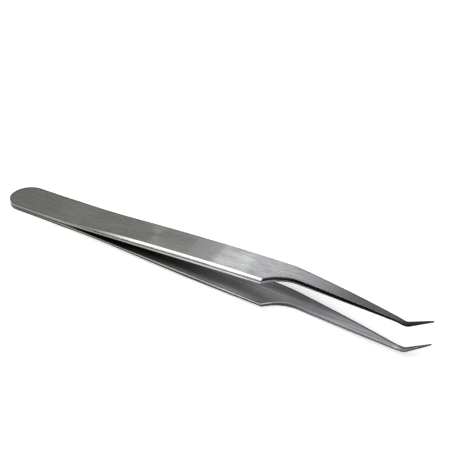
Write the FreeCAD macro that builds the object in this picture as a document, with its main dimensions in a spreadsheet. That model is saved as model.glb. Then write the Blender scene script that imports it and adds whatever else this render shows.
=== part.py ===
import FreeCAD, Part
import math
import os
from itertools import product

import Sketcher
from FreeCAD import Vector

# Angled tweezers: two steel arms, mirror images of each other, welded face to face at the rounded heel.
# The arms are drawn in the frame of the pair: X runs from the heel to the tips, the plane Z = 0 lies
# between the two inner faces, and the points turn aside towards +Y. Placed, the pair lies on its lower arm.

doc = FreeCAD.newDocument("angled_tweezers")
sheet = doc.addObject("Spreadsheet::Sheet", "dim")

# Driving sizes, in millimetres and degrees.
SIZES = {
    # The arm from above: a strip with a round heel, a notch in its near edge and its point bent aside
    "arm_length": 120.4,
    "grip_width": 9.6,
    "heel_offset": 0.75,
    "notch_at": 77.5,
    "notch_angle": 44.0,
    "notch_radius": 9.5,
    "near_angle": 3.9,
    "near_bend_back": 4.9,
    "near_bend_offset": 2.93,
    "turn_at": 78.9,
    "turn_radius": 32.0,
    "crown_radius": 430.0,
    "far_bend_back": 5.4,
    "far_bend_offset": 1.28,
    "outer_bend_radius": 2.05,
    "inner_bend_radius": 1.1,
    "tip_offset": 2.5,
    "tip_width": 0.24,
    # The inner face from the side: level at the weld, sprung open, slightly hollow, turned in at the tip
    "weld_length": 7.6,
    "spring_radius": 344.0,
    "spread_angle": 2.98,
    "hollow_at": 65.6,
    "hollow_radius": 1160.0,
    "tip_bend_back": 7.8,
    "tip_bend_radius": 8.0,
    "tip_gap": 6.8,
    # The outer face from the side, with the flat that the belly rests on
    "heel_thickness": 0.77,
    "heel_level": 8.5,
    "swell_radius": 233.0,
    "swell_angle": 4.58,
    "belly_at": 36.8,
    "belly_radius": 767.0,
    "rest_length": 8.0,
    "tip_thickness": 0.3,
    # Ground edges of the outer face: a bevel along the grip, and the drafted flanks of the point
    "bevel_size": 0.62,
    "bevel_start": 18.4,
    "flank_draft": 25.5,
    # Strip left around the outline, cut away in the end, and how far off a cutter starts
    "blank_margin": 4.0,
    "run_in": 0.5,
}

# Sizes that follow from those. The pair rests on the lower corner of its heel and on the flat of its belly,
# a chord of the belly's circle, so its tilt is that of the line from the corner along this chord. The last
# two bring the middle of its base to the origin.
FOLLOWING = {
    "near_bend_at": "=arm_length - near_bend_back",
    "far_bend_at": "=arm_length - far_bend_back",
    "tip_rise": "=tip_offset + near_bend_offset",
    "tip_far_at": "=arm_length - tip_width * tip_rise / hypot(near_bend_back; tip_rise)",
    "tip_far_offset": "=tip_offset + tip_width * near_bend_back / hypot(near_bend_back; tip_rise)",
    "tip_bend_at": "=arm_length - tip_bend_back",
    "swell_end_at": "=heel_level + swell_radius * sin(swell_angle * 1deg)",
    "belly_height": "=heel_thickness + swell_radius * (1 - cos(swell_angle * 1deg))"
                    " + (belly_at - swell_end_at) * tan(swell_angle * 1deg)",
    "belly_centre_at": "=belly_at + belly_radius * sin(swell_angle * 1deg)",
    "belly_centre_depth": "=belly_radius * cos(swell_angle * 1deg) - belly_height",
    "bevel_start_height": "=heel_thickness + swell_radius"
                          " - sqrt(pow(swell_radius; 2) - pow(bevel_start - heel_level; 2))",
    "crest_height": "=belly_radius - belly_centre_depth",
    "bevel_end": "=(turn_at + arm_length) / 2",
    "notch_height": "=sqrt(pow(belly_radius; 2) - pow(belly_centre_at - notch_at; 2)) - belly_centre_depth",
    "flank_level": "=notch_height - bevel_size",
    "chord_distance": "=sqrt(pow(belly_radius; 2) - pow(rest_length / 2; 2))",
    "tilt": "=asin(chord_distance / hypot(belly_centre_at; belly_centre_depth + heel_thickness))"
            " - atan((belly_centre_depth + heel_thickness) / belly_centre_at)",
    "lift": "=heel_thickness * cos(tilt)",
    "setback": "=(arm_length * cos(tilt) + (tip_gap / 2 + tip_thickness - heel_thickness) * sin(tilt)) / 2",
}
for row, (name, content) in enumerate((SIZES | FOLLOWING).items(), start=1):
    sheet.set(f"A{row}", name)
    sheet.set(f"B{row}", str(content))
    sheet.setAlias(f"B{row}", name)
doc.recompute()


# Rough places that a sketch starts from, before its constraints settle it: how the turn's chord runs per
# millimetre of radius, and at which share of the bend's offset the notch has its root
TURN_CHORD = Vector(0.14, -0.01, 0)
ROOT_SHARE = 5


def number(formula):
    """The value of a formula in the sheet's sizes."""
    value = sheet.evalExpression(formula)
    return getattr(value, "Value", value)


def at(x_formula, y_formula):
    """A point of a sketch."""
    return Vector(number(x_formula), number(y_formula), 0)


def rounded(before, corner, after, radius):
    """Start, middle and end of the arc that rounds the corner between two straight runs."""
    into = (corner - before).normalize()
    out = (after - corner).normalize()
    half_turn = into.getAngle(out) / 2
    reach = radius * math.tan(half_turn)
    middle = corner + (out - into).normalize() * (radius / math.cos(half_turn) - radius)
    return corner - into * reach, middle, corner + out * reach


def bowed(start, end, radius):
    """Start, middle and end of an arc over a chord, bowed to its left, or right if radius is negative."""
    chord = end - start
    left = Vector(-chord.y, chord.x, 0).normalize()
    return start, (start + end) / 2 + left * (chord.Length ** 2 / (8 * radius)), end


def new_sketch(body, name, role, lift=None):
    """A sketch on one of the body's own planes, or moved along that plane's normal by a formula."""
    sketch = body.newObject("Sketcher::SketchObject", name)
    sketch.AttachmentSupport = [(next(p for p in body.Origin.OriginFeatures if p.Role == role), "")]
    sketch.MapMode = "FlatFace"
    if lift:
        sketch.setExpression("AttachmentOffset.Base.z", lift)
    return sketch


def line(sketch, start, end):
    return sketch.addGeometry(Part.LineSegment(start, end))


def arc(sketch, start, middle, end):
    return sketch.addGeometry(Part.Arc(start, middle, end))


def join(sketch, one, other, kind):
    """Ties the ends where two edges meet: Coincident for a corner, Tangent for a smooth passage."""
    def gap(ends):
        return sketch.getPoint(one, ends[0]).distanceToPoint(sketch.getPoint(other, ends[1]))
    ends = min(product((1, 2), (1, 2)), key=gap)
    sketch.addConstraint(Sketcher.Constraint(kind, one, ends[0], other, ends[1]))


def size(sketch, formula, kind, *where):
    """A dimension of the sketch, bound to the sheet by its formula."""
    value = number(formula)
    if kind == "Angle":
        value = math.radians(value)
    index = sketch.addConstraint(Sketcher.Constraint(kind, *where, value))
    sketch.setExpression(f"Constraints[{index}]", formula)


def place(sketch, edge, end, x_formula=None, y_formula=None):
    """Dimensions one end of an edge from the sketch's origin."""
    if x_formula:
        size(sketch, x_formula, "DistanceX", -1, 1, edge, end)
    if y_formula:
        size(sketch, y_formula, "DistanceY", -1, 1, edge, end)


def pin(sketch, x_formula, y_formula, *edges):
    """A construction point that the given edges, or their continuations, pass through."""
    guess = at(x_formula, y_formula or "0")
    point = sketch.addGeometry(Part.Point(guess), True)
    for edge in edges:
        sketch.addConstraint(Sketcher.Constraint("PointOnObject", point, 1, edge))
    place(sketch, point, 1, x_formula, y_formula)


def draw_near_edge(sketch, start, end):
    """The near edge from above, between two X formulas: grip, notch, tapered point and bent tip."""
    edge_y = "-dim.grip_width / 2"
    first, notch = at(start, edge_y), at("dim.notch_at", edge_y)
    bend = at("dim.near_bend_at", "-dim.near_bend_offset")
    tip = at("dim.arm_length", "dim.tip_offset")
    root = Vector(notch.x - notch.y, bend.y / ROOT_SHARE, 0)
    notch_arc = rounded(notch, root, bend, number("dim.notch_radius"))
    bend_arc = rounded(root, bend, tip, number("dim.outer_bend_radius"))

    grip = line(sketch, first, notch)
    step = line(sketch, notch, notch_arc[0])
    hollow = arc(sketch, *notch_arc)
    point = line(sketch, notch_arc[2], bend_arc[0])
    turn = arc(sketch, *bend_arc)
    last = line(sketch, bend_arc[2], tip)
    join(sketch, grip, step, "Coincident")
    for one, other in ((step, hollow), (hollow, point), (point, turn), (turn, last)):
        join(sketch, one, other, "Tangent")
    sketch.addConstraint(Sketcher.Constraint("Horizontal", grip))
    size(sketch, "dim.notch_angle", "Angle", step)
    size(sketch, "dim.notch_radius", "Radius", hollow)
    size(sketch, "-dim.near_angle", "Angle", point)
    size(sketch, "dim.outer_bend_radius", "Radius", turn)
    place(sketch, grip, 1, start, edge_y)
    place(sketch, grip, 2, "dim.notch_at")
    pin(sketch, "dim.near_bend_at", "-dim.near_bend_offset", point, last)
    pin(sketch, "dim.arm_length", "dim.tip_offset", last)
    place(sketch, last, 2, end)
    return grip, last


def draw_far_edge(sketch, start, end):
    """The far edge from above, between two X formulas: grip, turn, crown of the point and bent tip."""
    edge_y = "dim.grip_width / 2"
    first, turn = at(start, edge_y), at("dim.turn_at", edge_y)
    bend = at("dim.far_bend_at", "-dim.far_bend_offset")
    tip = at("dim.tip_far_at", "dim.tip_far_offset")
    turn_end = turn + TURN_CHORD * number("dim.turn_radius")
    bend_arc = rounded(turn, bend, tip, number("dim.inner_bend_radius"))

    grip = line(sketch, first, turn)
    far_turn = arc(sketch, *bowed(turn, turn_end, number("dim.turn_radius")))
    crown = arc(sketch, *bowed(turn_end, bend_arc[0], number("dim.crown_radius")))
    inner_turn = arc(sketch, *bend_arc)
    last = line(sketch, bend_arc[2], tip)
    edges = [grip, far_turn, crown, inner_turn, last]
    for one, other in zip(edges, edges[1:]):
        join(sketch, one, other, "Tangent")
    sketch.addConstraint(Sketcher.Constraint("Horizontal", grip))
    size(sketch, "dim.turn_radius", "Radius", far_turn)
    size(sketch, "dim.crown_radius", "Radius", crown)
    size(sketch, "dim.inner_bend_radius", "Radius", inner_turn)
    place(sketch, grip, 1, start, edge_y)
    place(sketch, grip, 2, "dim.turn_at")
    pin(sketch, "dim.far_bend_at", "-dim.far_bend_offset", crown, last)
    pin(sketch, "dim.tip_far_at", "dim.tip_far_offset", last)
    place(sketch, last, 2, end)
    return grip, last


def draw_outline(sketch):
    """The arm's outline from above inside the blank's rectangle, so that what lies between is waste."""
    near_grip, near_tip = draw_near_edge(sketch, "dim.grip_width / 2 - dim.heel_offset", "dim.arm_length")
    far_grip, far_tip = draw_far_edge(sketch, "dim.grip_width / 2 + dim.heel_offset", "dim.tip_far_at")
    tip_end = line(sketch, sketch.getPoint(near_tip, 2), sketch.getPoint(far_tip, 2))
    join(sketch, near_tip, tip_end, "Coincident")
    join(sketch, tip_end, far_tip, "Coincident")

    # The heel, round from edge to edge, with its top off the middle
    near, far = sketch.getPoint(near_grip, 1), sketch.getPoint(far_grip, 1)
    near_heel = arc(sketch, *rounded(Vector(), Vector(0, near.y, 0), near, near.x))
    far_heel = arc(sketch, *rounded(far, Vector(0, far.y, 0), Vector(), far.x))
    for one, other in ((near_grip, near_heel), (near_heel, far_heel), (far_heel, far_grip)):
        join(sketch, one, other, "Tangent")
    sketch.addConstraint(Sketcher.Constraint("PointOnObject", near_heel, 1, -2))

    # The blank's edge
    left, low = "-dim.blank_margin", "-dim.grip_width / 2 - dim.blank_margin"
    right, high = "dim.arm_length + dim.blank_margin", "dim.grip_width / 2 + dim.blank_margin"
    loop = [at(left, low), at(right, low), at(right, high), at(left, high)]
    bottom, side, top, back = (line(sketch, loop[i], loop[(i + 1) % 4]) for i in range(4))
    for one, other in ((bottom, side), (side, top), (top, back), (back, bottom)):
        join(sketch, one, other, "Coincident")
    for edge, kind in ((bottom, "Horizontal"), (side, "Vertical"), (top, "Horizontal"), (back, "Vertical")):
        sketch.addConstraint(Sketcher.Constraint(kind, edge))
    place(sketch, bottom, 1, left, low)
    place(sketch, top, 1, right, high)


def draw_flank(sketch, draw_edge, start, limit):
    """What a flank's cutter takes, from above: all between one edge, from before start, and a limit."""
    start, end = f"{start} - dim.blank_margin", "dim.arm_length + dim.run_in"
    first, last = draw_edge(sketch, start, end)
    corners = [sketch.getPoint(last, 2), at(end, limit), at(start, limit), sketch.getPoint(first, 1)]
    side, outside, back = (line(sketch, *pair) for pair in zip(corners, corners[1:]))
    for one, other in ((last, side), (side, outside), (outside, back), (back, first)):
        join(sketch, one, other, "Coincident")
    for edge, kind in ((side, "Vertical"), (outside, "Horizontal"), (back, "Vertical")):
        sketch.addConstraint(Sketcher.Constraint(kind, edge))
    place(sketch, outside, 1, None, limit)


def draw_face(sketch, level_to, level, radius, angle, straight_to, back_radius, tip_level):
    """One face of the arm from the side: level, curving away, straight, curving back, turned to the tip.

    Each size is a formula. The first and last edge are returned.
    """
    away = number(angle)
    slope = math.tan(math.radians(away))
    level_end = at(level_to, level or "0")
    curve_end = level_end + Vector(slope, slope ** 2 / 2, 0) * number(radius)
    run = number(straight_to) - curve_end.x
    straight_end = curve_end + Vector(run, run * slope, 0)
    run = number("dim.tip_bend_at") - straight_end.x
    bend = straight_end + Vector(run, run * slope - run ** 2 / (2 * number(back_radius)), 0)
    tip = at("dim.arm_length", tip_level)
    bend_arc = rounded(straight_end, bend, tip, number("dim.tip_bend_radius"))
    past_tip = tip + (tip - bend).normalize() * number("dim.blank_margin / 2")

    first = line(sketch, Vector(-number("dim.blank_margin / 2"), level_end.y, 0), level_end)
    curve = arc(sketch, *bowed(level_end, curve_end, -number(radius)))
    straight = line(sketch, curve_end, straight_end)
    back = arc(sketch, *bowed(straight_end, bend_arc[0], number(back_radius)))
    tip_bend = arc(sketch, *bend_arc)
    last = line(sketch, bend_arc[2], past_tip)
    edges = [first, curve, straight, back, tip_bend, last]
    for one, other in zip(edges, edges[1:]):
        join(sketch, one, other, "Tangent")
    size(sketch, radius, "Radius", curve)
    size(sketch, angle, "Angle", straight)
    size(sketch, back_radius, "Radius", back)
    size(sketch, "dim.tip_bend_radius", "Radius", tip_bend)
    sketch.addConstraint(Sketcher.Constraint("Horizontal", first))
    place(sketch, first, 1, "-dim.blank_margin / 2", level)
    if not level:
        sketch.addConstraint(Sketcher.Constraint("PointOnObject", first, 1, -1))
    place(sketch, first, 2, level_to)
    place(sketch, straight, 2, straight_to)
    place(sketch, last, 2, "dim.arm_length + dim.blank_margin / 2")
    pin(sketch, "dim.tip_bend_at", None, back, last)
    pin(sketch, "dim.arm_length", tip_level, last)
    return first, last


def draw_profile(sketch):
    """The blank from the side, between its inner and its outer face."""
    inner = draw_face(sketch, "dim.weld_length", None, "dim.spring_radius", "dim.spread_angle",
                      "dim.hollow_at", "dim.hollow_radius", "dim.tip_gap / 2")
    outer = draw_face(sketch, "dim.heel_level", "dim.heel_thickness", "dim.swell_radius", "dim.swell_angle",
                      "dim.belly_at", "dim.belly_radius", "dim.tip_gap / 2 + dim.tip_thickness")
    for (one, other), end in zip(zip(inner, outer), (1, 2)):
        side = line(sketch, sketch.getPoint(one, end), sketch.getPoint(other, end))
        join(sketch, one, side, "Coincident")
        join(sketch, side, other, "Coincident")


def draw_bevel(sketch):
    """What the bevel's cutter takes, seen along the grip's edge: from nothing at its start to full size.

    The sketch lies off the grip's side by the cutter's run-in, and so as much lower.
    """
    start_depth = "dim.bevel_start_height - dim.run_in"
    full_depth = "dim.belly_height - dim.bevel_size - dim.run_in"
    start, full = at("dim.bevel_start", start_depth), at("dim.belly_at", full_depth)
    radius = number("dim.belly_radius")
    slope = math.tan(math.radians(number("dim.swell_angle")))
    run = number("dim.bevel_end") - full.x
    end = full + Vector(run, run * slope - run ** 2 / (2 * radius), 0)
    before = start - Vector(number("dim.blank_margin"), 0, 0)
    top = number("dim.belly_height + dim.blank_margin")
    lid_start, lid_end = Vector(end.x, top, 0), Vector(before.x, top, 0)

    growing = arc(sketch, *bowed(before, full, -radius))
    steady = arc(sketch, *bowed(full, end, radius))
    side = line(sketch, end, lid_start)
    lid = line(sketch, lid_start, lid_end)
    back = line(sketch, lid_end, before)
    loop = [growing, steady, side, lid, back]
    join(sketch, growing, steady, "Tangent")
    for one, other in zip(loop[1:], loop[2:] + loop[:1]):
        join(sketch, one, other, "Coincident")
    for edge, kind in ((side, "Vertical"), (lid, "Horizontal"), (back, "Vertical")):
        sketch.addConstraint(Sketcher.Constraint(kind, edge))
    size(sketch, "dim.belly_radius", "Radius", steady)
    place(sketch, steady, 3, "dim.belly_centre_at", "-dim.belly_centre_depth - dim.bevel_size - dim.run_in")
    pin(sketch, "dim.bevel_start", start_depth, growing)
    pin(sketch, "dim.belly_at", full_depth, growing)
    place(sketch, back, 1, "dim.bevel_start - dim.blank_margin")
    place(sketch, lid, 1, "dim.bevel_end", "dim.belly_height + dim.blank_margin")


def draw_rest(sketch):
    """What the flat under the belly takes, seen from the side: all beyond its line, past the swell."""
    past_swell = at("dim.belly_at", "dim.heel_thickness + dim.belly_at * tan(dim.tilt)")
    past_tip = at("dim.arm_length", "dim.heel_thickness + dim.arm_length * tan(dim.tilt)")
    top = number("dim.belly_height + 2 * dim.blank_margin")
    corners = [past_swell, past_tip, Vector(past_tip.x, top, 0), Vector(past_swell.x, top, 0)]
    flat, side, lid, back = (line(sketch, corners[i], corners[(i + 1) % 4]) for i in range(4))
    for one, other in ((flat, side), (side, lid), (lid, back), (back, flat)):
        join(sketch, one, other, "Coincident")
    for edge, kind in ((side, "Vertical"), (lid, "Horizontal"), (back, "Vertical")):
        sketch.addConstraint(Sketcher.Constraint(kind, edge))
    size(sketch, "dim.tilt", "Angle", flat)
    place(sketch, flat, 1, None, "dim.heel_thickness + dim.belly_at * tan(dim.tilt)")
    place(sketch, back, 1, "dim.belly_at")
    place(sketch, lid, 1, "dim.arm_length", "dim.belly_height + 2 * dim.blank_margin")


def cut(body, name, sketch, **settings):
    """A pocket of the sketch; it must take something from the body."""
    before = body.Shape.Volume
    pocket = body.newObject("PartDesign::Pocket", name)
    pocket.Profile = sketch
    for key, setting in settings.items():
        if isinstance(setting, str) and "dim." in setting:
            pocket.setExpression(key, setting)
        else:
            setattr(pocket, key, setting)
    doc.recompute()
    assert 0 < body.Shape.Volume < before, f"{name} cuts nothing"


# The upper arm: a bent blank with its outline stamped out, the flanks of the point ground at a draft, and a
# bevel ground along each edge of the grip
upper = doc.addObject("PartDesign::Body", "upper_arm")
upper.Label = "upper_arm"
profile = new_sketch(upper, "SideProfile", "XZ_Plane")
draw_profile(profile)
blank = upper.newObject("PartDesign::Pad", "Blank")
blank.Profile = profile
blank.SideType = "Symmetric"
blank.setExpression("Length", "dim.grip_width + dim.blank_margin")
doc.recompute()

outline = new_sketch(upper, "Outline", "XY_Plane")
draw_outline(outline)
cut(upper, "Stamping", outline, Type="ThroughAll", SideType="Symmetric")

for name, draw_edge, start, limit in (
        ("NearFlank", draw_near_edge, "dim.notch_at", "-dim.grip_width / 2 - dim.blank_margin"),
        ("FarFlank", draw_far_edge, "dim.turn_at", "dim.grip_width / 2 + dim.blank_margin")):
    flank = new_sketch(upper, f"{name}Edge", "XY_Plane", "dim.flank_level")
    draw_flank(flank, draw_edge, start, limit)
    cut(upper, name, flank, Reversed=True, TaperAngle="dim.flank_draft",
        Length="dim.crest_height - dim.flank_level + dim.run_in")

for name, lift, across in (("NearBevel", "dim.grip_width / 2 + dim.run_in", 1),
                           ("FarBevel", "-dim.grip_width / 2 - dim.run_in", -1)):
    edge = new_sketch(upper, f"{name}Edge", "XZ_Plane", lift)
    draw_bevel(edge)
    cut(upper, name, edge, UseCustomVector=True, Direction=Vector(0, across, 1),
        Length="2 * (dim.bevel_size + dim.run_in)")

rest = new_sketch(upper, "RestEdge", "XZ_Plane")
draw_rest(rest)
cut(upper, "RestFlat", rest, Type="ThroughAll", SideType="Symmetric")

# The lower arm: its mirror image, weld face to weld face
lower = doc.addObject("Part::Mirroring", "lower_arm")
lower.Label = "lower_arm"
lower.Source = upper

# Both are tilted about the heel onto their rest, and moved together to the origin
upper.Placement = FreeCAD.Placement(Vector(), FreeCAD.Rotation(Vector(0, -1, 0), 1))
upper.setExpression("Placement.Rotation.Angle", "dim.tilt")
upper.setExpression("Placement.Base.x", "-dim.setback")
upper.setExpression("Placement.Base.z", "dim.lift")
lower.setExpression("Base.x", "-dim.setback")
lower.setExpression("Base.z", "dim.lift")
lower.setExpression("Normal.x", "-sin(dim.tilt)")
lower.setExpression("Normal.z", "cos(dim.tilt)")
doc.recompute()

for part in doc.Objects:
    assert not {"Invalid", "Error"} & set(part.State), f"{part.Label}: {part.State}"
    if part.isDerivedFrom("Sketcher::SketchObject"):
        assert part.FullyConstrained, f"{part.Label} is loose"
os.makedirs("parts", exist_ok=True)
for part in (upper, lower):
    assert not part.Shape.isNull() and part.Shape.isValid() and len(part.Shape.Solids) == 1, part.Label
    part.Shape.exportStep(f"parts/{part.Label}.step")
    print(part.Label, round(part.Shape.Volume, 1), "mm3", part.Shape.BoundBox)
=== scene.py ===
import math

import bpy
from mathutils import Matrix, Vector

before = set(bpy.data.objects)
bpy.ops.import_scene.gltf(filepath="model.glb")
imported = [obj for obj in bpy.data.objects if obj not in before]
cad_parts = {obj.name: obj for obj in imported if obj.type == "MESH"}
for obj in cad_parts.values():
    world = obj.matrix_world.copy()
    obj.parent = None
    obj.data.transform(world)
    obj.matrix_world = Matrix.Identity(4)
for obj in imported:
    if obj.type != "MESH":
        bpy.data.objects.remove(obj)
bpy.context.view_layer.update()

# Two stainless steel arms, mirror images of each other, welded together at the heel. Each is stamped from
# strip, bent, and brushed along its length; its bevels and its slim point are ground.
# A bright patch on the grip is a painted highlight, and painted shade darkens the point. The broken edges
# catch a thin line of light, or of the dark room.


def srgb(code):
    """The linear colour of an sRGB hex code."""
    parts = [int(code[i:i + 2], 16) / 255 for i in (1, 3, 5)]
    return [p / 12.92 if p <= 0.04045 else ((p + 0.055) / 1.055) ** 2.4 for p in parts] + [1.0]


def add(tree, kind, settings=None, links=None):
    """Adds a node. Settings are its own properties or the values of its sockets, and links go to sockets."""
    made = tree.nodes.new(kind)
    for name, value in (settings or {}).items():
        if isinstance(name, int) or name in made.inputs:
            made.inputs[name].default_value = value
        else:
            setattr(made, name, value)
    for name, source in (links or {}).items():
        tree.links.new(source, made.inputs[name])
    return made


def faded(tree, *fades):
    """A mask: the product of smooth fades, each a source, where it starts and ends, and the values there."""
    mask = None
    for source, low, high, *values in fades:
        from_value, to_value = values or (0.0, 1.0)
        fade = add(tree, "ShaderNodeMapRange", {"interpolation_type": "SMOOTHSTEP", "From Min": low,
                                                "From Max": high, "To Min": from_value, "To Max": to_value},
                   {"Value": source}).outputs["Result"]
        if mask is None:
            mask = fade
        else:
            mask = add(tree, "ShaderNodeMath", {"operation": "MULTIPLY"}, {0: mask, 1: fade}).outputs["Value"]
    return mask


def marked(tree, level, *marks):
    """A level after marks that lighten or darken it, each a strength and a mask of where it lies."""
    for strength, mask in marks:
        factor = add(tree, "ShaderNodeMath", {"operation": "MULTIPLY_ADD", 1: strength, 2: 1.0}, {0: mask})
        level = add(tree, "ShaderNodeMath", {"operation": "MULTIPLY"}, {0: level, 1: factor.outputs["Value"]})
        level = level.outputs["Value"]
    return level


MM = 0.001
# Edges are broken by the first radius; the painted dark and light lines beside them are found with the second
EDGE_RADIUS, LIP_RADIUS = 0.12 * MM, 1.0 * MM
# The parting line, painted as shade: its height at the heel, and its rise along the tilted arms
SEAM_HEIGHT, SEAM_SLOPE, HEEL_AT = 0.769 * MM, 0.0503, -60.2 * MM
# The length and spacing of the scratches, which are drawn coarser than real ones so that they show
FINE, COARSE, CLOUD = (14.3 * MM, 0.25 * MM), (20 * MM, 1.1 * MM), 12.5 * MM
BUMP_HEIGHT = 0.004 * MM
GROUND_ROUGHNESS = 0.12
# Where the notch, the slim shaft and the painted shade of the tip start, from the middle of the tweezers
NOTCH, SHAFT, TIP = (16.8 * MM, 17.2 * MM), (19.6 * MM, 20.4 * MM), (52 * MM, 55 * MM)


def brushed_steel(name, outer_sign):
    """Brushed stainless steel: fine scratches along the strip spread its reflections across it."""
    material = bpy.data.materials.new(name)
    material.use_nodes = True
    tree = material.node_tree
    tree.nodes.clear()

    # Where a spot lies, and which way it faces
    coordinates = add(tree, "ShaderNodeTexCoord")
    spot = coordinates.outputs["Object"]
    place = add(tree, "ShaderNodeSeparateXYZ", None, {"Vector": spot})
    along, sideways, height = place.outputs["X"], place.outputs["Y"], place.outputs["Z"]
    normal = add(tree, "ShaderNodeSeparateXYZ", None, {"Vector": coordinates.outputs["Normal"]})
    facing = normal.outputs["Z"]
    outward = add(tree, "ShaderNodeMath", {"operation": "MULTIPLY", 1: outer_sign}, {0: facing})
    outward = outward.outputs["Value"]
    levelness = add(tree, "ShaderNodeMath", {"operation": "ABSOLUTE"}, {0: facing}).outputs["Value"]
    off_middle = add(tree, "ShaderNodeMath", {"operation": "ABSOLUTE"}, {0: sideways}).outputs["Value"]
    outer = faded(tree, (outward, -0.4, 0.4))
    upright = (levelness, 0.2, 0.3, 1.0, 0.0)

    # Fine and coarse scratches along the strip
    scratches = []
    for (length, spacing), detail in ((FINE, 2.0), (COARSE, 3.0)):
        scale = (1 / length, 1 / spacing, 1 / spacing)
        stretched = add(tree, "ShaderNodeMapping", {"Scale": scale}, {"Vector": spot})
        noise = add(tree, "ShaderNodeTexNoise", {"Scale": 1.0, "Detail": detail, "Roughness": 0.6},
                    {"Vector": stretched.outputs["Vector"]})
        scratches.append(noise.outputs["Fac"])
    fine, coarse = scratches

    # The colour: warmer at the heel than at the points, with slow brownish clouds
    cooler = faded(tree, (along, -35 * MM, 40 * MM))
    tone = add(tree, "ShaderNodeMix", {"data_type": "RGBA"}, {"Factor": cooler})
    tone.inputs["A"].default_value = srgb("#b4b5ae")
    tone.inputs["B"].default_value = srgb("#aeafb5")
    cloud = add(tree, "ShaderNodeTexNoise", {"Scale": 1 / CLOUD, "Detail": 3.0}, {"Vector": spot})
    browner = faded(tree, (cloud.outputs["Fac"], 0.35, 0.75, 0.0, 0.35))
    shade = add(tree, "ShaderNodeMix", {"data_type": "RGBA"},
                {"A": tone.outputs["Result"], "Factor": browner})
    shade.inputs["B"].default_value = srgb("#a3a19c")

    # The outer face: painted shade at the heel and on the point, and a painted highlight as a bright patch on
    # the grip
    patch = faded(tree, (along, 1.2 * MM, 3.6 * MM), (along, 10.5 * MM, 13.5 * MM, 1.0, 0.0),
                  (sideways, 1.0 * MM, 4.0 * MM, 1.0, 0.35), (coarse, 0.35, 0.6, 0.55, 1.0))
    outer_level = faded(tree, (along, -52 * MM, -38 * MM, 0.82, 1.0), (along, 28 * MM, 45 * MM, 1.0, 0.67))
    outer_level = marked(tree, outer_level, (0.45, patch))

    # The inner face: painted shade darkens it in the narrow gap at the heel, in the middle of the grip and on
    # the far side behind the notch, and painted light makes it lighter near the front edge and towards the
    # point
    middle = faded(tree, (off_middle, 1.5 * MM, 4.2 * MM, 1.0, 0.0), (along, 8 * MM, 20 * MM, 1.0, 0.0))
    behind = faded(tree, (sideways, 0.5 * MM, 3.0 * MM), (along, 8 * MM, 18 * MM),
                   (along, 30 * MM, 42 * MM, 1.0, 0.0))
    near_edge_light = faded(tree, (sideways, -4.5 * MM, -2.6 * MM, 1.0, 0.0), (along, 6 * MM, 18 * MM, 1.0, 0.0),
                      (outward, -0.9, -0.6, 1.0, 0.0))
    inner_level = faded(tree, (along, -30 * MM, 12 * MM, 0.06, 1.0), (coarse, 0.35, 0.7, 0.93, 1.26),
                        (along, 25 * MM, 52 * MM, 1.0, 1.6))
    inner_level = marked(tree, inner_level, (1.3, near_edge_light), (-0.55, middle), (-0.55, behind))
    face_level = add(tree, "ShaderNodeMix", {"data_type": "FLOAT"},
                     {"Factor": outer, "A": inner_level, "B": outer_level}).outputs["Result"]

    # How far the surface near an edge is turned to the side: that places the painted shade of a face's dark
    # rim, and the painted dark lip and painted glint of light beside the ground edges
    wide = add(tree, "ShaderNodeBevel", {"samples": 8, "Radius": LIP_RADIUS})
    turned = add(tree, "ShaderNodeVectorTransform",
                 {"vector_type": "NORMAL", "convert_from": "WORLD", "convert_to": "OBJECT"},
                 {"Vector": wide.outputs["Normal"]})
    turned = add(tree, "ShaderNodeSeparateXYZ", None, {"Vector": turned.outputs["Vector"]})
    slope = add(tree, "ShaderNodeMath", {"operation": "MULTIPLY", 1: outer_sign}, {0: turned.outputs["Z"]})
    slope = slope.outputs["Value"]
    steepness = add(tree, "ShaderNodeMath", {"operation": "ABSOLUTE"}, {0: slope}).outputs["Value"]
    rim = faded(tree, (steepness, 0.72, 0.76), (steepness, 0.95, 0.99, 1.0, 0.0),
                (turned.outputs["Y"], -0.08, 0.02, 0.4, 1.0))
    # Painted shade: the bevel is darker on its first part, where it grows out of the face
    bevel_start_shade = faded(tree, (outward, 0.6, 0.68), (outward, 0.74, 0.82, 1.0, 0.0),
                        (along, -33 * MM, -16 * MM, 1.0, 0.0))
    if outer_sign > 0:
        # The upper arm: painted shade for a dark lip, a grey step in the notch, and the dark flank of the
        # point
        step = faded(tree, upright, (along, *NOTCH), (along, *SHAFT, 1.0, 0.0))
        lip = faded(tree, (slope, 0.0, 0.1), (slope, 0.52, 0.64, 1.0, 0.0), (along, -42 * MM, -30 * MM))
        lip = marked(tree, lip, (-1.0, step))
        flank = faded(tree, upright, (along, *SHAFT))
        own_marks = ((-0.93, lip), (-0.65, step), (-0.8, flank))
    else:
        # The lower arm: its bevel and the flank of its point are turned to the table and get painted shade,
        # under a painted highlight as a glint
        lowered = slope
        for shift in ((along, 18 * MM, 24 * MM, 0.0, 0.5), (along, -44 * MM, -30 * MM, -0.15, 0.0)):
            lowered = add(tree, "ShaderNodeMath", {"operation": "ADD"}, {0: lowered, 1: faded(tree, shift)})
            lowered = lowered.outputs["Value"]
        lip = faded(tree, (lowered, -0.35, -0.15), (slope, 0.9, 0.98, 1.0, 0.0))
        glint = faded(tree, (slope, -0.995, -0.97), (slope, -0.88, -0.8, 1.0, 0.0),
                      (turned.outputs["Y"], -0.08, -0.02, 1.0, 0.0), (along, 18 * MM, 24 * MM))
        own_marks = ((-0.93, lip), (1.3, glint))

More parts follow.
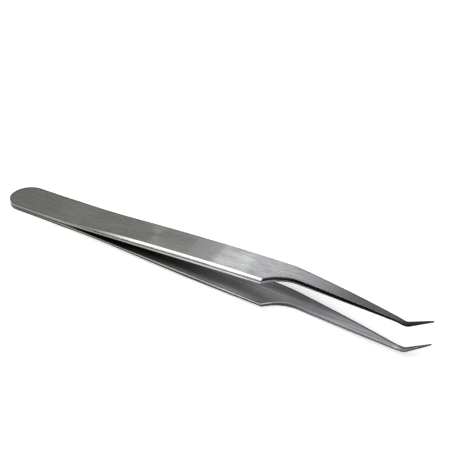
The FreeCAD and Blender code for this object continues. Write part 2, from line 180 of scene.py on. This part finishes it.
    # Painted shade along the parting line between the arms, which rises with their tilt
    rise = add(tree, "ShaderNodeMath", {"operation": "MULTIPLY_ADD", 1: -SEAM_SLOPE,
                                        2: HEEL_AT * SEAM_SLOPE - SEAM_HEIGHT}, {0: along})
    over_seam = add(tree, "ShaderNodeMath", {"operation": "ADD"}, {0: rise.outputs["Value"], 1: height})
    over_seam = add(tree, "ShaderNodeMath", {"operation": "ABSOLUTE"}, {0: over_seam.outputs["Value"]})
    seam_shade = faded(tree, (over_seam.outputs["Value"], 0.1 * MM, 0.22 * MM, 1.0, 0.0))

    # All the marks together: the scratches; painted shade on the tip, the rims, the start of the bevel and
    # the parting line; painted light on the side walls; and each arm's own painted marks
    fine_marks = faded(tree, (fine, 0.3, 0.7, -0.07, 0.05))
    coarse_marks = faded(tree, (coarse, 0.3, 0.7, -0.06, 0.05))
    tip = faded(tree, (along, *TIP))
    wall_light = faded(tree, upright)
    level = marked(tree, face_level, (1.0, fine_marks), (1.0, coarse_marks), (-0.65, tip), (0.3, wall_light),
                   (-0.75, rim), (-0.76, bevel_start_shade), (-0.95, seam_shade), *own_marks)
    colour = add(tree, "ShaderNodeVectorMath", {"operation": "SCALE"},
                 {"Vector": shade.outputs["Result"], "Scale": level})

    # The gloss: brushed faces, a little rougher inside, and shinier ground edges
    scratched = faded(tree, (fine, 0.3, 0.7, 0.2, 0.3))
    inside = faded(tree, (outer, 0.0, 1.0, 0.08, 0.0))
    brushed = add(tree, "ShaderNodeMath", {"operation": "ADD"}, {0: scratched, 1: inside})
    rough = add(tree, "ShaderNodeMix", {"data_type": "FLOAT", "A": GROUND_ROUGHNESS},
                {"Factor": faded(tree, (levelness, 0.75, 0.95)), "B": brushed.outputs["Value"]})
    broken = add(tree, "ShaderNodeBevel", {"samples": 6, "Radius": EDGE_RADIUS})
    bump = add(tree, "ShaderNodeBump", {"Strength": 0.3, "Distance": BUMP_HEIGHT},
               {"Height": fine, "Normal": broken.outputs["Normal"]})
    across = add(tree, "ShaderNodeTangent", {"direction_type": "RADIAL", "axis": "X"})
    steel = add(tree, "ShaderNodeBsdfPrincipled", {"Metallic": 1.0, "Anisotropic": 0.6},
                {"Base Color": colour.outputs["Vector"], "Roughness": rough.outputs["Result"],
                 "Normal": bump.outputs["Normal"], "Tangent": across.outputs["Tangent"]})
    add(tree, "ShaderNodeOutputMaterial", None, {"Surface": steel.outputs["BSDF"]})
    return material


for arm, outer_sign, slot in (("upper_arm", 1, "upper_steel"), ("lower_arm", -1, "lower_steel")):
    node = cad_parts[arm]
    node.data.materials.clear()
    node.data.materials.append(brushed_steel(f"brushed_steel_{arm}", outer_sign))

# The table: a sheet of matt white paper, laid flat. It has no gloss, so the eye sees plain white and the soft
# shadow of the tweezers. A little light of its own, for the camera and for the steel, keeps it white.
TABLE_SIZE = 4.0
OWN_LIGHT = 0.42
bpy.ops.mesh.primitive_plane_add(size=TABLE_SIZE)
table = bpy.context.object
table.name = "table"
paper = bpy.data.materials.new("white_paper")
paper.use_nodes = True
tree = paper.node_tree
tree.nodes.clear()
ray = add(tree, "ShaderNodeLightPath")
seen = ray.outputs["Is Camera Ray"]
for kind in ("Is Glossy Ray", "Is Transmission Ray"):
    seen = add(tree, "ShaderNodeMath", {"operation": "MAXIMUM"}, {0: seen, 1: ray.outputs[kind]})
    seen = seen.outputs["Value"]
own_light = add(tree, "ShaderNodeMath", {"operation": "MULTIPLY", 1: OWN_LIGHT}, {0: seen})
sheet = add(tree, "ShaderNodeBsdfDiffuse", {"Color": srgb("#f8f8f8")})
lift = add(tree, "ShaderNodeEmission", {"Color": srgb("#ffffff")}, {"Strength": own_light.outputs["Value"]})
both = add(tree, "ShaderNodeAddShader", None, {0: sheet.outputs["BSDF"], 1: lift.outputs["Emission"]})
add(tree, "ShaderNodeOutputMaterial", None, {"Surface": both.outputs["Shader"]})
table.data.materials.append(paper)

# The studio: a pale ceiling over a dark horizon, a wide soft box in front, a small one that lights the bevel,
# and a narrow one behind that the outer face mirrors to the camera.
# The room goes from dark to pale between these heights, where 1 is straight up
HORIZON, CEILING = 0.16, 0.36
DARK_ROOM, PALE_CEILING = 0.03, 0.36
world = bpy.data.worlds.new("studio")
bpy.context.scene.world = world
world.use_nodes = True
tree = world.node_tree
tree.nodes.clear()
sky = add(tree, "ShaderNodeTexCoord")
sky = add(tree, "ShaderNodeSeparateXYZ", None, {"Vector": sky.outputs["Generated"]})
room = add(tree, "ShaderNodeBackground", {"Color": srgb("#ffffff")},
           {"Strength": faded(tree, (sky.outputs["Z"], HORIZON, CEILING, DARK_ROOM, PALE_CEILING))})
add(tree, "ShaderNodeOutputWorld", None, {"Surface": room.outputs["Background"]})


def soft_box(name, azimuth, elevation, distance, size, radiance):
    """An area lamp that faces the tweezers from a compass direction, with its height as an angle."""
    a, e = math.radians(azimuth), math.radians(elevation)
    direction = Vector((math.sin(a) * math.cos(e), -math.cos(a) * math.cos(e), math.sin(e)))
    lamp = bpy.data.lights.new(name, "AREA")
    lamp.shape = "RECTANGLE"
    lamp.size, lamp.size_y = size
    lamp.energy = radiance * math.pi * lamp.size * lamp.size_y
    holder = bpy.data.objects.new(name, lamp)
    holder.location = direction * distance
    holder.rotation_mode = "QUATERNION"
    holder.rotation_quaternion = direction.to_track_quat("Z", "Y")
    bpy.context.scene.collection.objects.link(holder)


soft_box("front_box", azimuth=-20, elevation=52, distance=1.8, size=(3.2, 1.9), radiance=1.5)
soft_box("bevel_box", azimuth=-40, elevation=41, distance=1.5, size=(0.5, 0.45), radiance=1.6)
soft_box("back_box", azimuth=-149.8, elevation=35, distance=2.5, size=(0.29, 0.7), radiance=1.35)

# The camera, where the photograph was taken from: worked out from the edges of both arms. Its place is given
# in millimetres in the frame of the arms, which lie tilted on the table.
TILT = math.radians(2.876992)
SETBACK, LIFT = 60.198, 0.76903
AZIMUTH, ELEVATION, ROLL = (math.radians(x) for x in (28.78, 36.0, 0.79))
DISTANCE, SHIFT_X, SHIFT_Y = 374.0, -3.93, -9.46
FOCAL_PIXELS, PICTURE, SENSOR = 1477.0, 450, 36.0
MIDDLE = Vector((60.4, 0, 0))
back = Vector((math.sin(AZIMUTH) * math.cos(ELEVATION), -math.cos(AZIMUTH) * math.cos(ELEVATION),
               math.sin(ELEVATION)))
right = Vector((math.cos(AZIMUTH), math.sin(AZIMUTH), 0))
up = back.cross(right)
picture_right = right * math.cos(ROLL) + up * math.sin(ROLL)
picture_up = up * math.cos(ROLL) - right * math.sin(ROLL)
eye = MIDDLE + back * DISTANCE - picture_right * SHIFT_X - picture_up * SHIFT_Y
pose = Matrix((picture_right, picture_up, back)).transposed().to_4x4()
pose.translation = eye * MM
arms_to_table = Matrix.Translation(Vector((-SETBACK, 0, LIFT)) * MM) @ Matrix.Rotation(-TILT, 4, "Y")
camera = bpy.data.cameras.new("camera")
camera.sensor_width = SENSOR
camera.lens = SENSOR * FOCAL_PIXELS / PICTURE
camera.clip_start, camera.clip_end = 0.01, 10
viewer = bpy.data.objects.new("camera", camera)
viewer.matrix_world = arms_to_table @ pose
bpy.context.scene.collection.objects.link(viewer)
bpy.context.scene.camera = viewer
bpy.context.scene.view_settings.view_transform = "Standard"
